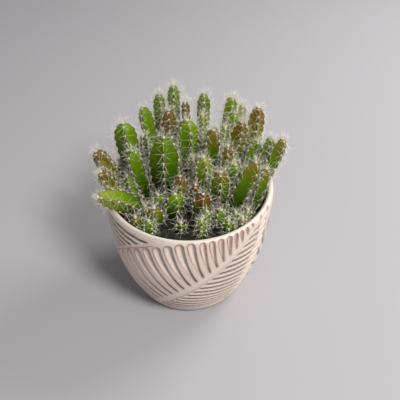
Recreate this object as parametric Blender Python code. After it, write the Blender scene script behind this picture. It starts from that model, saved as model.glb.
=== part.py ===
"""Potted dragon fruit cactus.

A glazed bowl with carved leaf relief, filled with soil, holds a dense clump of short ribbed stems
with thin needles on their ribs. Units are metres and +Z is up. The origin is the centre of the
bowl's flat foot, and the clump's front faces -Y. Angles round the bowl are in degrees, 0 at the
front and growing towards +X.
"""
import math
import random
from collections import namedtuple

import bmesh
import bpy
from mathutils import Matrix, Vector

# Driving dimensions of the bowl
RIM_RADIUS = 0.0600
POT_HEIGHT = 0.0960
FOOT_RADIUS = 0.0380
FOOT_ROUND = 0.0014
BELLY_DROP = 0.0200
BELLY_POWER = 2.6
OUTSIDE_HEIGHTS = (0.0130, 0.0240, 0.0400, 0.0620, 0.0915)
WALL = 0.0045
INSIDE_HEIGHTS = (0.0620, 0.0320, 0.0120)
CORNER_HEIGHT = 0.0080
CORNER_CUT = 0.0040
FLOOR_THICKNESS = 0.0070
LIP_HEIGHT = 0.0030
LIP_STEPS = 5
TURN_STEPS = 36

# Driving dimensions of the leaf relief. A leaf leans to the right round the bowl: its midrib climbs
# from the foot band to the rim, its fingers end in round lobes on its left edge. The leaf on the
# right has a steeper edge of its own.
RELIEF = 0.0018
SUNK = 0.0012
RELIEF_FOOT = 0.0090
LEAF_OFFSETS = (-120.0, 0.0, 105.0)
SIDE_LEAF = 2
MIDRIB_START = -32.0
MIDRIB_LOW = 0.0051
MIDRIB_CLIMB = 0.00112
MIDRIB_EASE = 0.0000010
MIDRIB_WIDE = 0.0098
MIDRIB_TAPER = 0.000055
MIDRIB_PROUD = 0.0021
MIDRIB_CEILING = 0.0870
MARGIN_TOP = 0.0990
MARGIN_FALL = 0.0000500
MARGIN_POWER = 1.62
SHOULDER_ANGLE = -72.0
SHOULDER_SWEEP = 8.0
SHOULDER_DROP = 0.0360
TIP_CEILING = 0.0925
FINGERS = 22
FINGER_PITCH = 4.545
FIRST_FOOT = -55.4
FINGER_BEND = 1.8
TIP_LINES = ((1.66, -15.3), (1.30, -10.2), (0.95, 0.4))
VEIN_FALL = 0.009
VEIN_CEILING = 0.1
VEIN_FLOOR = 0.0080
UNDERLAP = 11.0
HALVINGS = 16

# Height and angle of the side leaf's edge
SIDE_MARGIN = ((0.009, -68.0), (0.020, -66.0), (0.040, -62.0), (0.051, -59.6), (0.060, -56.4),
               (0.070, -53.9), (0.080, -52.5), (0.088, -51.5), (0.096, -49.0))

# Share of the way from the midrib, and how proud a ridge and a groove stand there
FINGER_SECTIONS = (
    (1.00, 0.0016, 0.0016),
    (0.90, 0.0018, 0.0006),
    (0.40, 0.0018, 0.0004),
    (0.00, 0.0019, 0.0012),
)
VEIN_SECTIONS = (
    (0.04, 0.0014, 0.0008),
    (0.30, 0.0015, 0.0006),
    (0.65, 0.0014, 0.0005),
    (1.00, -0.0006, -0.0008),
)

# Soil, and the plain holes in it
SOIL_TOP = 0.0840
SOIL_EDGE_DROP = 0.0010
SOIL_FLAT_RADIUS = 0.0460
GAP = 0.0004
HOLE_DEPTH = 0.0060
HOLE_SIDES = 4
CUT_OVERRUN = 0.0020

# Stems. A stem is slim at the soil, full above, and closes in a round tip.
KNEE_DROP = 0.4
DOME_LIMIT = 0.45
DOME_WIDTHS = 0.9
DOME_POWER = 2.6
FOOT_SHARE = 0.60
CORE_SHARE = 0.42
VALLEY_SHARES = {4: 0.64, 5: 0.72}
LEAN_FROM = 3.0
TALL = 0.030
STOUT = 0.0115
TIP_RING = 0.72

# Needles
LONE_LEVEL = 0.60
LOW_LEVEL = 0.35
HIGH_LEVEL = 0.76
DOME_LEVEL = 0.33
TIP_LEVEL = 0.90
NEEDLE_LENGTH = 0.0070
NEEDLE_SHORT = 0.85
NEEDLE_LONG = 1.10
NEEDLE_CRAMPED = 0.70
NEEDLE_RADIUS = 0.00042
NEEDLE_ROOT = 0.0012
SKIN_SHARE = 0.88
BESIDE_RIB = 8.0
RISE = 0.25
TIP_RISE = 1.6
RISE_SPREAD = 0.6
SIDE_SPREAD = 0.5
TIP_NEEDLES = 3
TIP_TURN = 50.0
FULL_TRIES = 5
TRIES = 8
BOWL_CLEARANCE = 0.0008
STEM_CLEARANCE = 0.0006
NEEDLE_CLEARANCE = 0.0011

# Each row is a stem: base x and y, tip x and y, height above the soil, width over the ribs,
# number of ribs, turn of the first rib from the front in degrees, outward bow, and tone.
Stem = namedtuple("Stem", "base_x base_y tip_x tip_y height width ribs turn bow tone")
STEMS = [Stem(*row) for row in (
    (-0.0110, 0.041, -0.0110, 0.054, 0.057, 0.0095, 5, 0, 0.000, "moss"),
    (-0.0205, 0.036, -0.0215, 0.047, 0.054, 0.0090, 4, 20, 0.000, "moss"),
    (-0.0235, 0.027, -0.0325, 0.043, 0.046, 0.0120, 4, -20, 0.000, "leaf"),
    (-0.0110, 0.027, -0.0140, 0.036, 0.048, 0.0115, 5, 0, 0.000, "rust"),
    (0.0005, 0.033, -0.0025, 0.039, 0.053, 0.0060, 4, 0, 0.000, "rust"),
    (0.0095, 0.042, 0.0110, 0.049, 0.053, 0.0100, 5, 0, 0.000, "moss"),
    (0.0100, 0.029, 0.0100, 0.034, 0.045, 0.0060, 4, 0, 0.000, "lime"),
    (0.0240, 0.038, 0.0310, 0.046, 0.052, 0.0095, 5, 10, 0.000, "leaf"),
    (0.0365, 0.032, 0.0385, 0.043, 0.048, 0.0060, 4, 0, 0.000, "pale"),
    (0.0270, 0.030, 0.0330, 0.035, 0.046, 0.0115, 5, 0, 0.000, "leaf"),
    (0.0425, 0.021, 0.0495, 0.039, 0.048, 0.0125, 5, 5, 0.000, "rust"),
    (0.0290, 0.017, 0.0375, 0.025, 0.045, 0.0115, 4, 5, 0.000, "rust"),
    (0.0405, 0.010, 0.0490, 0.021, 0.032, 0.0110, 5, 0, 0.000, "leaf"),
    (0.0465, 0.003, 0.0570, 0.014, 0.040, 0.0095, 5, 0, 0.002, "moss"),
    (0.0435, -0.0085, 0.0645, 0.0080, 0.0435, 0.0110, 4, 15, 0.0035, "olive"),
    (0.0220, 0.027, 0.0260, 0.024, 0.042, 0.0070, 4, 0, 0.000, "leaf"),
    (0.0155, 0.014, 0.0173, 0.012, 0.048, 0.0135, 4, 45, 0.000, "olive"),
    (0.0260, 0.006, 0.0275, 0.011, 0.035, 0.0085, 5, 0, 0.000, "rust"),
    (-0.0015, 0.017, -0.0005, 0.018, 0.052, 0.0155, 5, 20, 0.000, "leaf"),
    (-0.0170, 0.003, -0.0160, 0.000, 0.051, 0.0215, 5, 0, 0.000, "deep"),
    (-0.0410, 0.021, -0.0450, 0.019, 0.049, 0.0160, 4, 10, 0.000, "leaf"),
    (-0.0300, -0.001, -0.0380, 0.000, 0.040, 0.0135, 4, 60, 0.000, "leaf"),
    (-0.0425, 0.006, -0.0630, 0.003, 0.037, 0.0120, 5, 0, 0.002, "rust"),
    (-0.0420, -0.007, -0.0585, -0.0115, 0.031, 0.0110, 5, 0, 0.002, "rust"),
    (-0.0325, -0.0185, -0.0585, -0.0325, 0.0274, 0.0145, 4, 40, -0.005, "lime"),
    (-0.0350, -0.0125, -0.0425, -0.0035, 0.021, 0.0070, 4, 0, 0.000, "leaf"),
    (0.0115, -0.005, 0.0105, -0.005, 0.038, 0.0105, 4, 20, 0.000, "lime"),
    (0.0035, 0.003, 0.0035, 0.001, 0.033, 0.0065, 4, 0, 0.000, "leaf"),
    (0.0210, -0.014, 0.0220, -0.013, 0.032, 0.0135, 5, 0, 0.000, "olive"),
    (0.0305, -0.0045, 0.0320, -0.0065, 0.033, 0.0105, 4, 15, 0.000, "leaf"),
    (0.0315, -0.0185, 0.0455, -0.009, 0.037, 0.0155, 4, 18, 0.000, "olive"),
    (0.0435, -0.0185, 0.0535, -0.005, 0.028, 0.0095, 4, 40, 0.001, "olive"),
    (0.0390, -0.0285, 0.0405, -0.0275, 0.011, 0.0065, 4, 0, 0.000, "leaf"),
    (-0.0040, -0.009, -0.0055, -0.007, 0.023, 0.0110, 5, 0, 0.000, "rust"),
    (0.0035, -0.0135, 0.0050, -0.0125, 0.020, 0.0080, 4, 0, 0.000, "red"),
    (0.0095, -0.0245, 0.0103, -0.023, 0.021, 0.0145, 5, 0, 0.000, "red"),
    (-0.0095, -0.024, -0.0085, -0.025, 0.023, 0.0130, 4, 20, 0.000, "leaf"),
    (-0.0215, -0.017, -0.0205, -0.018, 0.016, 0.0080, 5, 0, 0.000, "leaf"),
    (-0.0215, -0.033, -0.0223, -0.033, 0.018, 0.0115, 4, 0, 0.000, "olive"),
    (-0.0335, -0.037, -0.0347, -0.038, 0.014, 0.0095, 4, 10, 0.000, "olive"),
    (-0.0250, -0.043, -0.0255, -0.0420, 0.015, 0.0080, 4, 30, 0.000, "leaf"),
    (-0.0045, -0.038, -0.0045, -0.038, 0.009, 0.0065, 4, 0, 0.000, "olive"),
    (0.0218, -0.034, 0.0221, -0.034, 0.017, 0.0090, 4, 45, 0.000, "leaf"),
    (0.0090, -0.043, 0.0092, -0.043, 0.017, 0.0065, 4, 0, 0.000, "lime"),
    (0.0270, -0.041, 0.0269, -0.041, 0.014, 0.0075, 4, 0, 0.000, "leaf"),
    (0.0355, -0.036, 0.0362, -0.038, 0.014, 0.0060, 4, 0, 0.000, "pale"),
    (0.0310, -0.030, 0.0320, -0.032, 0.013, 0.0060, 4, 0, 0.000, "moss"),
    (-0.0300, 0.013, -0.0325, 0.024, 0.035, 0.0060, 4, 0, 0.000, "dark"),
    (0.0000, 0.048, 0.0020, 0.052, 0.024, 0.0080, 5, 0, 0.000, "leaf"),
    (-0.0360, 0.034, -0.0390, 0.036, 0.020, 0.0060, 4, 0, 0.000, "leaf"),
    (0.0180, 0.046, 0.0200, 0.050, 0.022, 0.0070, 5, 0, 0.000, "moss"),
    (-0.0190, 0.045, -0.0210, 0.050, 0.019, 0.0060, 4, 0, 0.000, "leaf"),
    (-0.0290, -0.026, -0.0290, -0.026, 0.013, 0.0070, 4, 15, 0.000, "moss"),
    (0.0130, -0.0344, 0.0130, -0.0344, 0.016, 0.0080, 4, 30, 0.000, "leaf"),
    (-0.0120, 0.018, -0.0120, 0.019, 0.028, 0.0060, 4, 20, 0.000, "moss"),
    (0.0120, 0.005, 0.0120, 0.005, 0.022, 0.0065, 4, 10, 0.000, "leaf"),
    (0.0385, 0.001, 0.0385, 0.001, 0.019, 0.0065, 4, 30, 0.000, "leaf"),
)]

TONES = {
    "leaf": (0.16, 0.30, 0.03),
    "lime": (0.33, 0.44, 0.05),
    "deep": (0.06, 0.16, 0.02),
    "moss": (0.20, 0.27, 0.09),
    "olive": (0.19, 0.20, 0.03),
    "rust": (0.24, 0.12, 0.03),
    "red": (0.27, 0.08, 0.04),
    "dark": (0.05, 0.09, 0.03),
    "pale": (0.45, 0.44, 0.30),
}

UP = Vector((0.0, 0.0, 1.0))
FRONT = Vector((0.0, -1.0, 0.0))


def clear_scene():
    for item in list(bpy.data.objects):
        bpy.data.objects.remove(item, do_unlink=True)


def plain_material(name, colour, roughness):
    material = bpy.data.materials.new(name)
    material.use_nodes = True
    shader = material.node_tree.nodes["Principled BSDF"]
    shader.inputs["Base Color"].default_value = (*colour, 1.0)
    shader.inputs["Roughness"].default_value = roughness
    shader.inputs["Metallic"].default_value = 0.0
    return material


def add_object(name, shape, collection=None):
    mesh = bpy.data.meshes.new(name)
    shape.to_mesh(mesh)
    shape.free()
    item = bpy.data.objects.new(name, mesh)
    (collection or bpy.context.scene.collection).objects.link(item)
    return item


def finish(item, material, sharp_degrees):
    item.data.materials.clear()
    item.data.materials.append(material)
    item.data.shade_smooth()
    item.data.set_sharp_from_angle(angle=math.radians(sharp_degrees))


def scratch_collection(name):
    collection = bpy.data.collections.new(name)
    bpy.context.scene.collection.children.link(collection)
    return collection


def join_with(body, collection, operation="UNION"):
    """Boolean the collection's objects into the body, apply it and remove them."""
    joint = body.modifiers.new("join", "BOOLEAN")
    joint.operation = operation
    joint.solver = "EXACT"
    joint.operand_type = "COLLECTION"
    joint.collection = collection
    bpy.context.view_layer.update()
    evaluated = body.evaluated_get(bpy.context.evaluated_depsgraph_get())
    joined = bpy.data.meshes.new_from_object(evaluated)
    body.modifiers.clear()
    body.data = joined
    for item in list(collection.objects):
        bpy.data.objects.remove(item, do_unlink=True)
    bpy.data.collections.remove(collection)


def turned(profile):
    """A closed solid from a profile of (radius, height) whose two ends lie on the axis."""
    shape = bmesh.new()
    points = [shape.verts.new((radius, 0.0, height)) for radius, height in profile]
    edges = [shape.edges.new(pair) for pair in zip(points, points[1:])]
    bmesh.ops.spin(shape, geom=points + edges, cent=(0, 0, 0), axis=(0, 0, 1), angle=math.tau,
                   steps=TURN_STEPS, use_merge=True, use_duplicate=False)
    bmesh.ops.remove_doubles(shape, verts=shape.verts, dist=0.000001)
    bmesh.ops.recalc_face_normals(shape, faces=shape.faces)
    return shape


# Bowl

def bowl_radius(height):
    """Outer radius of the bowl over its relief."""
    return RIM_RADIUS - BELLY_DROP * (1.0 - height / POT_HEIGHT) ** BELLY_POWER


def bowl_profile():
    """From the middle of the foot up the outside, over the round lip and down the inside."""
    outside = [(0.0, 0.0), (FOOT_RADIUS, 0.0), (bowl_radius(FOOT_ROUND), FOOT_ROUND)]
    outside.append((bowl_radius(RELIEF_FOOT - RELIEF), RELIEF_FOOT - RELIEF))
    outside += [(bowl_radius(height) - RELIEF, height) for height in OUTSIDE_HEIGHTS]
    lip = []
    for step in range(LIP_STEPS + 1):
        angle = math.pi * step / LIP_STEPS
        lip.append((RIM_RADIUS - WALL / 2 + math.cos(angle) * WALL / 2,
                    POT_HEIGHT - LIP_HEIGHT + math.sin(angle) * LIP_HEIGHT))
    inside = [(bowl_radius(height) - WALL, height) for height in INSIDE_HEIGHTS]
    corner = (bowl_radius(CORNER_HEIGHT) - WALL - CORNER_CUT, FLOOR_THICKNESS)
    return outside + lip + inside + [corner, (0.0, FLOOR_THICKNESS)]


def on_bowl(angle, height, proud):
    """A point so far outside the bowl's own surface, at an angle and a height."""
    radius = bowl_radius(height) - RELIEF + proud
    turn = math.radians(angle)
    return Vector((radius * math.sin(turn), -radius * math.cos(turn), height))


def slab(rows):
    """A closed curved plate over rows of (angle, height, proud); a row may be shorter than the next."""
    shape = bmesh.new()
    face = [[shape.verts.new(on_bowl(*point)) for point in row] for row in rows]
    backs = {}
    for points, row in zip(face, rows):
        for vertex, point in zip(points, row):
            backs[vertex] = shape.verts.new(on_bowl(point[0], point[1], -SUNK))
    for near, far in zip(face, face[1:]):
        for j in range(min(len(near), len(far)) - 1):
            shape.faces.new((near[j], near[j + 1], far[j + 1], far[j]))
    rims = [tuple(edge.verts) for edge in shape.edges if edge.is_boundary]
    for plate in list(shape.faces):
        shape.faces.new([backs[vertex] for vertex in reversed(plate.verts)])
    for first, second in rims:
        shape.faces.new((first, second, backs[second], backs[first]))
    bmesh.ops.triangulate(shape, faces=shape.faces)
    bmesh.ops.recalc_face_normals(shape, faces=shape.faces)
    return shape


def midrib_height(angle):
    """Height of the midrib's lower edge, which climbs round the bowl from its foot to its rim."""
    along = angle - MIDRIB_START
    return MIDRIB_LOW + MIDRIB_CLIMB * along - MIDRIB_EASE * along * along


def midrib_top(angle):
    """Height of the midrib's upper edge."""
    return midrib_height(angle) + MIDRIB_WIDE - MIDRIB_TAPER * (angle - MIDRIB_START)


def crown(angle):
    """Height of a leaf's upper edge, left of its highest point."""
    return MARGIN_TOP - MARGIN_FALL * abs(min(angle, 0.0)) ** MARGIN_POWER


def crown_angle(height):
    """Angle of a leaf's left edge at a height."""
    shoulder = crown(SHOULDER_ANGLE)
    if height > shoulder:
        return -(max(0.0, MARGIN_TOP - height) / MARGIN_FALL) ** (1.0 / MARGIN_POWER)
    return SHOULDER_ANGLE - SHOULDER_SWEEP * (shoulder - height) / SHOULDER_DROP


def side_angle(height):
    """Angle of the side leaf's left edge at a height."""
    for (low, start), (high, end) in zip(SIDE_MARGIN, SIDE_MARGIN[1:]):
        if height <= high:
            return start + (end - start) * max(0.0, height - low) / (high - low)
    return SIDE_MARGIN[-1][1]


def finger_point(foot, along):
    """Angle and height on a finger, from 0 at the midrib to 1 at its round end. It bends left."""
    foot_height = max(RELIEF_FOOT, midrib_top(foot))
    shoulder_foot = (SHOULDER_ANGLE - TIP_LINES[0][1]) / TIP_LINES[0][0]
    if foot < shoulder_foot:
        share = (shoulder_foot - foot) / (shoulder_foot - FIRST_FOOT)
        tip_angle = SHOULDER_ANGLE - SHOULDER_SWEEP * share
        tip_height = crown(SHOULDER_ANGLE) - SHOULDER_DROP * share
    else:
        tip_angle = min(slope * foot + start for slope, start in TIP_LINES)
        tip_height = min(crown(tip_angle), TIP_CEILING)
    swing = 1.0 - (1.0 - along) ** FINGER_BEND
    return foot + (tip_angle - foot) * swing, foot_height + (tip_height - foot_height) * along


def side_reach(foot):
    """How far along it a finger of the side leaf meets that leaf's edge."""
    low, high = 0.0, 1.0
    for _ in range(HALVINGS):
        middle = (low + high) / 2
        angle, height = finger_point(foot, middle)
        if angle > side_angle(height):
            low = middle
        else:
            high = middle
    return high


def finger_points(foot, groove, reach):
    """From a finger's round end down to the midrib, and over the midrib."""
    points = []
    for along, ridge, hollow in FINGER_SECTIONS:
        points.append((*finger_point(foot, along * reach), hollow if groove else ridge))
    if midrib_top(foot) > 1.1 * RELIEF_FOOT:
        points.append((foot, max(RELIEF_FOOT, midrib_height(foot)), MIDRIB_PROUD))
    return points


def vein_points(foot, groove, end):
    """From the midrib along a fine vein that sinks to the right and passes under the next leaf."""
    foot_height = midrib_height(foot)
    fall = VEIN_FALL * (1.0 - foot_height / VEIN_CEILING)
    points = []
    for share, ridge, hollow in VEIN_SECTIONS:
        angle = foot + (end - foot) * share
        height = VEIN_FLOOR + (foot_height - VEIN_FLOOR) * math.exp(-fall * (angle - foot))
        points.append((angle, height, hollow if groove else ridge))
    return points


def leaf(number):
    """One leaf: fingers over its midrib, fine veins under it, ridge and groove in turn. It ends
    where its midrib runs into the rim."""
    offset = LEAF_OFFSETS[number]
    following = (number + 1) % len(LEAF_OFFSETS)
    to_next = (LEAF_OFFSETS[following] - offset) % 360.0
    rows = []
    for k in range(2 * FINGERS + 1):
        foot = FIRST_FOOT + FINGER_PITCH * k / 2
        if midrib_top(foot) > MIDRIB_CEILING:
            break
        row = finger_points(foot, k % 2, side_reach(foot) if number == SIDE_LEAF else 1.0)
        if midrib_height(foot) > 1.1 * RELIEF_FOOT:
            edge = side_angle if following == SIDE_LEAF else crown_angle
            row += vein_points(foot, k % 2, to_next + edge(midrib_height(foot)) + UNDERLAP)
        rows.append([(angle + offset, height, proud) for angle, height, proud in row])
    return slab(rows)


def make_pot():
    pot = add_object("pot", turned(bowl_profile()))
    relief = scratch_collection("relief")
    for number in range(len(LEAF_OFFSETS)):
        add_object("leaf", leaf(number), relief)
    join_with(pot, relief)
    finish(pot, plain_material("glazed_cream", (0.71, 0.58, 0.50), 0.32), 35)


# Stems

def stem_axis(stem, share):
    """A point on a stem's middle line, a bowed line from its base to its tip."""
    base = Vector((stem.base_x, stem.base_y, SOIL_TOP + GAP))
    tip = Vector((stem.tip_x, stem.tip_y, SOIL_TOP + stem.height))
    outward = Vector((stem.tip_x, stem.tip_y, 0.0)).normalized()
    knee = (base + tip) / 2 + outward * stem.bow - UP * KNEE_DROP * stem.bow
    return base * (1 - share) ** 2 + knee * 2 * share * (1 - share) + tip * share ** 2


def dome_share(stem):
    """Share of a stem's length that its round tip takes."""
    return min(DOME_LIMIT, DOME_WIDTHS * stem.width / stem.height)


def rib_radius(stem, share):
    """Radius over the ribs of the true, smooth stem."""
    full = stem.width / 2
    dome = dome_share(stem)
    if share > 1.0 - dome:
        return full * math.sqrt(max(0.0, 1.0 - ((share - 1.0 + dome) / dome) ** DOME_POWER))
    swell = math.sin(math.pi / 2 * min(1.0, share / (1.0 - dome)))
    return full * (FOOT_SHARE + (1.0 - FOOT_SHARE) * swell)


def stem_frame(stem, share):
    """Centre, axis direction, front direction and side direction of a stem's section."""
    centre = stem_axis(stem, share)
    ahead = stem_axis(stem, min(1.0, share + 0.02)) - stem_axis(stem, max(0.0, share - 0.02))
    lean = min(1.0, share * LEAN_FROM)
    along = (UP * (1.0 - lean) + ahead.normalized() * lean).normalized()
    front = (FRONT - along * FRONT.dot(along)).normalized()
    return centre, along, front, along.cross(front)


def around(front, side, degrees):
    turn = math.radians(degrees)
    return front * math.cos(turn) + side * math.sin(turn)


def ring(shape, stem, share):
    """A star of ribs and the slightly hollow faces between them."""
    centre, along, front, side = stem_frame(stem, share)
    radius = rib_radius(stem, share)
    points = []
    for k in range(2 * stem.ribs):
        reach = radius * (VALLEY_SHARES[stem.ribs] if k % 2 else 1.0)
        outward = around(front, side, stem.turn + 180.0 * k / stem.ribs)
        points.append(shape.verts.new(centre + outward * reach))
    return points


def foot_ring(shape, stem, height):
    """A round ring of the stem's foot, which stands in its hole in the soil."""
    centre = Vector((stem.base_x, stem.base_y, height))
    radius = stem.width / 2 * CORE_SHARE
    side = UP.cross(FRONT)
    return [shape.verts.new(centre + around(FRONT, side, stem.turn + 180.0 * k / stem.ribs) * radius)
            for k in range(2 * stem.ribs)]


def ring_shares(stem):
    """Where a stem's rings lie: more of them on a taller stem, and close together in its tip."""
    dome = dome_share(stem)
    straight = 1.0 - dome
    steps = 2 if stem.height > TALL else 1
    lower = [straight * k / steps for k in range(steps + 1)]
    return lower + [straight + dome * TIP_RING]


def stem_body(stem):
    shape = bmesh.new()
    rings = [foot_ring(shape, stem, SOIL_TOP - HOLE_DEPTH + GAP), foot_ring(shape, stem, SOIL_TOP + GAP)]
    rings += [ring(shape, stem, share) for share in ring_shares(stem)]
    count = 2 * stem.ribs
    for low, high in zip(rings, rings[1:]):
        for k in range(count):
            n = (k + 1) % count
            shape.faces.new((low[k], low[n], high[n], high[k]))
    shape.faces.new(rings[0])
    top = shape.verts.new(stem_axis(stem, 1.0))
    for k in range(count):
        shape.faces.new((rings[-1][k], rings[-1][(k + 1) % count], top))
    bmesh.ops.triangulate(shape, faces=shape.faces)
    bmesh.ops.recalc_face_normals(shape, faces=shape.faces)
    return shape


# Needles

def faceted_radius(stem, share):
    """Radius over the ribs of the stem's straight faces between two of its rings."""
    marks = [(mark, rib_radius(stem, mark)) for mark in ring_shares(stem)] + [(1.0, 0.0)]
    for (low, low_radius), (high, high_radius) in zip(marks, marks[1:]):
        if share <= high:
            return low_radius + (high_radius - low_radius) * (share - low) / (high - low)
    return 0.0


def segment_gap(a, b, c, d):
    """Least distance between two short segments, sampled along both."""
    marks = (0.0, 0.25, 0.5, 0.75, 1.0)
    return min((a.lerp(b, i) - c.lerp(d, j)).length for i in marks for j in marks)


def is_clear(own, start, end, placed):
    """True if a needle passes clear of the other stems, their needles, the bowl and the soil."""
    for mark in (0.25, 0.5, 0.75, 1.0):
        point = start.lerp(end, mark)
        if point.z < SOIL_TOP + BOWL_CLEARANCE:
            return False
        if point.z < POT_HEIGHT + BOWL_CLEARANCE and point.xy.length > RIM_RADIUS - WALL - BOWL_CLEARANCE:
            return False
        for index, stem in enumerate(STEMS):
            for eighth in range(9):
                share = eighth / 8
                reach = max(rib_radius(stem, share), rib_radius(stem, 0.9)) + STEM_CLEARANCE
                if index != own and (stem_axis(stem, share) - point).length < reach:
                    return False
    return all(index == own or segment_gap(start, end, a, b) > NEEDLE_CLEARANCE for index, a, b in placed)


def needle_sites(stem):
    """Roots of a stem's needles as (share of its length, angle): on each rib, and round the tip."""
    dome = dome_share(stem)
    straight = 1.0 - dome
    levels = [straight * LONE_LEVEL]
    if stem.height > TALL:
        levels = [straight * LOW_LEVEL, straight * HIGH_LEVEL]
        if stem.width > STOUT:
            levels.append(straight + dome * DOME_LEVEL)
    sites = []
    for level, share in enumerate(levels):
        for k in range(stem.ribs):
            if share > LOW_LEVEL or (k + level) % 2 == 0:
                sites.append((share, stem.turn + 360.0 * k / stem.ribs + BESIDE_RIB))
    tip = straight + dome * TIP_LEVEL
    return sites + [(tip, TIP_TURN + 360.0 * k / TIP_NEEDLES) for k in range(TIP_NEEDLES)]


def place_needles(rng):
    """Roots and ends of all needles, as (stem's index, root, end); one with no room is left out."""
    placed = []
    for own, stem in enumerate(STEMS):
        for share, angle in needle_sites(stem):
            centre, along, front, side = stem_frame(stem, share)
            outward = around(front, side, angle)
            root = centre + outward * max(0.0, SKIN_SHARE * faceted_radius(stem, share) - NEEDLE_ROOT)
            rise = TIP_RISE if share > 1.0 - dome_share(stem) / 2 else RISE
            for attempt in range(TRIES):
                sideways = along.cross(outward) * rng.uniform(-SIDE_SPREAD, SIDE_SPREAD)
                climb = along * (rise + rng.uniform(0.0, RISE_SPREAD))
                length = NEEDLE_LENGTH * rng.uniform(NEEDLE_SHORT, NEEDLE_LONG)
                if attempt >= FULL_TRIES:
                    length *= NEEDLE_CRAMPED
                end = root + (outward + sideways + climb).normalized() * (length + NEEDLE_ROOT)
                if is_clear(own, root, end, placed):
                    placed.append((own, root, end))
                    break
    return placed


def needle(root, end, collection):
    shape = bmesh.new()
    turn = (end - root).to_track_quat("Z", "Y").to_matrix().to_4x4()
    place = Matrix.Translation((root + end) / 2) @ turn
    bmesh.ops.create_cone(shape, cap_ends=True, segments=3, radius1=NEEDLE_RADIUS, radius2=0.0,
                          depth=(end - root).length, matrix=place)
    add_object("needle", shape, collection)


def make_stems():
    placed = place_needles(random.Random(7))
    for index, stem in enumerate(STEMS):
        item = add_object(f"stem_{index + 1:02d}", stem_body(stem))
        collection = scratch_collection("needles")
        for own, root, end in placed:
            if own == index:
                needle(root, end, collection)
        join_with(item, collection)
        finish(item, plain_material(f"stem_{stem.tone}", TONES[stem.tone], 0.5), 30)


# Soil

def make_soil():
    """Soil fills the bowl, with a plain hole for the foot of each stem."""
    profile = [(0.0, FLOOR_THICKNESS + GAP),
               (bowl_radius(CORNER_HEIGHT) - WALL - CORNER_CUT - GAP, FLOOR_THICKNESS + GAP)]
    profile += [(bowl_radius(height) - WALL - GAP, height) for height in reversed(INSIDE_HEIGHTS)]
    profile += [(bowl_radius(SOIL_TOP) - WALL - GAP, SOIL_TOP - SOIL_EDGE_DROP),
                (SOIL_FLAT_RADIUS, SOIL_TOP), (0.0, SOIL_TOP)]
    soil = add_object("soil", turned(profile))
    holes = scratch_collection("holes")
    for stem in STEMS:
        shape = bmesh.new()
        radius = (stem.width / 2 * CORE_SHARE + GAP) / math.cos(math.pi / HOLE_SIDES)
        middle = SOIL_TOP + (CUT_OVERRUN - HOLE_DEPTH) / 2
        place = Matrix.Translation((stem.base_x, stem.base_y, middle))
        bmesh.ops.create_cone(shape, cap_ends=True, segments=HOLE_SIDES, radius1=radius,
                              radius2=radius, depth=HOLE_DEPTH + CUT_OVERRUN, matrix=place)
        add_object("hole", shape, holes)
    join_with(soil, holes, "DIFFERENCE")
    finish(soil, plain_material("dark_soil", (0.03, 0.025, 0.02), 0.95), 30)


clear_scene()
make_pot()
make_soil()
make_stems()
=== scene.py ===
"""Looks of the potted dragon fruit cactus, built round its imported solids.

Units are metres, +Z is up, the origin is the centre of the bowl's foot and the clump's low front
faces -Y. Angles round the bowl and round a stem are in degrees, 0 at the front and growing
towards +X.
"""
import math
import random
from collections import namedtuple

import bmesh
import bpy
import numpy as np
from mathutils import Matrix, Vector, noise


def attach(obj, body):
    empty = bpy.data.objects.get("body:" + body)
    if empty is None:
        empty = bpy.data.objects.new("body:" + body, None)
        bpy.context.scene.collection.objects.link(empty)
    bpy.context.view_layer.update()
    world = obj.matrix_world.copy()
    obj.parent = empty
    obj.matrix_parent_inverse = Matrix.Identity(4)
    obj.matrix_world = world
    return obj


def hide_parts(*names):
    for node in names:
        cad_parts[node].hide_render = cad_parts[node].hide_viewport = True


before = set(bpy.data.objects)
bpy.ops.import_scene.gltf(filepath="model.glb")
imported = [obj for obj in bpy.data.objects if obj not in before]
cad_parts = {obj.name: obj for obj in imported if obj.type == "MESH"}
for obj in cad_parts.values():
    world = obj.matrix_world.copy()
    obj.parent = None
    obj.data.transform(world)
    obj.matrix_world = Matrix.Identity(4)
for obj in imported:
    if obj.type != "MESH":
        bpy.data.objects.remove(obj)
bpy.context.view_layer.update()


# Camera
# It looks down at the clump from in front, at the photograph's angle, from about 45 cm away.
CAMERA_PLACE = (0.0081, -0.3321, 0.3880)
CAMERA_TILT = 47.0
CAMERA_LENS = 56.34

camera_data = bpy.data.cameras.new("camera")
camera_data.lens = CAMERA_LENS
camera_data.sensor_width = 36.0
camera_data.clip_start = 0.01
camera_data.clip_end = 20.0
camera = bpy.data.objects.new("camera", camera_data)
camera.location = CAMERA_PLACE
camera.rotation_euler = (math.radians(CAMERA_TILT), 0.0, 0.0)
bpy.context.scene.collection.objects.link(camera)
bpy.context.scene.camera = camera
bpy.context.scene.view_settings.view_transform = "Standard"


# Floor and light
# A plain pale floor, a high broad light from the right in front, a weaker one from the right
# behind, and an even pale sky that fills the shade.
FLOOR_SIZE = 6.0
FLOOR_COLOUR = (0.42, 0.40, 0.41)
SKY_COLOUR = (0.95, 0.97, 1.00)
SKY_STRENGTH = 0.30
KEY_LIGHT = ((0.46, -0.58, 1.00), 0.34, 12.5)
RIM_LIGHT = ((0.60, 0.42, 0.62), 0.45, 5.0)
LIGHT_AIM = Vector((0.0, 0.0, 0.07))


def new_material(name):
    """A new material, and its node tree and shader."""
    material = bpy.data.materials.new(name)
    material.use_nodes = True
    return material, material.node_tree, material.node_tree.nodes["Principled BSDF"]


def make_mesh(name, shape):
    """A mesh from a bmesh, which is freed."""
    mesh = bpy.data.meshes.new(name)
    shape.to_mesh(mesh)
    shape.free()
    return mesh


def add_piece(name, shape):
    """A new object from a bmesh, at the origin."""
    piece = bpy.data.objects.new(name, make_mesh(name, shape))
    bpy.context.scene.collection.objects.link(piece)
    return piece


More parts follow.
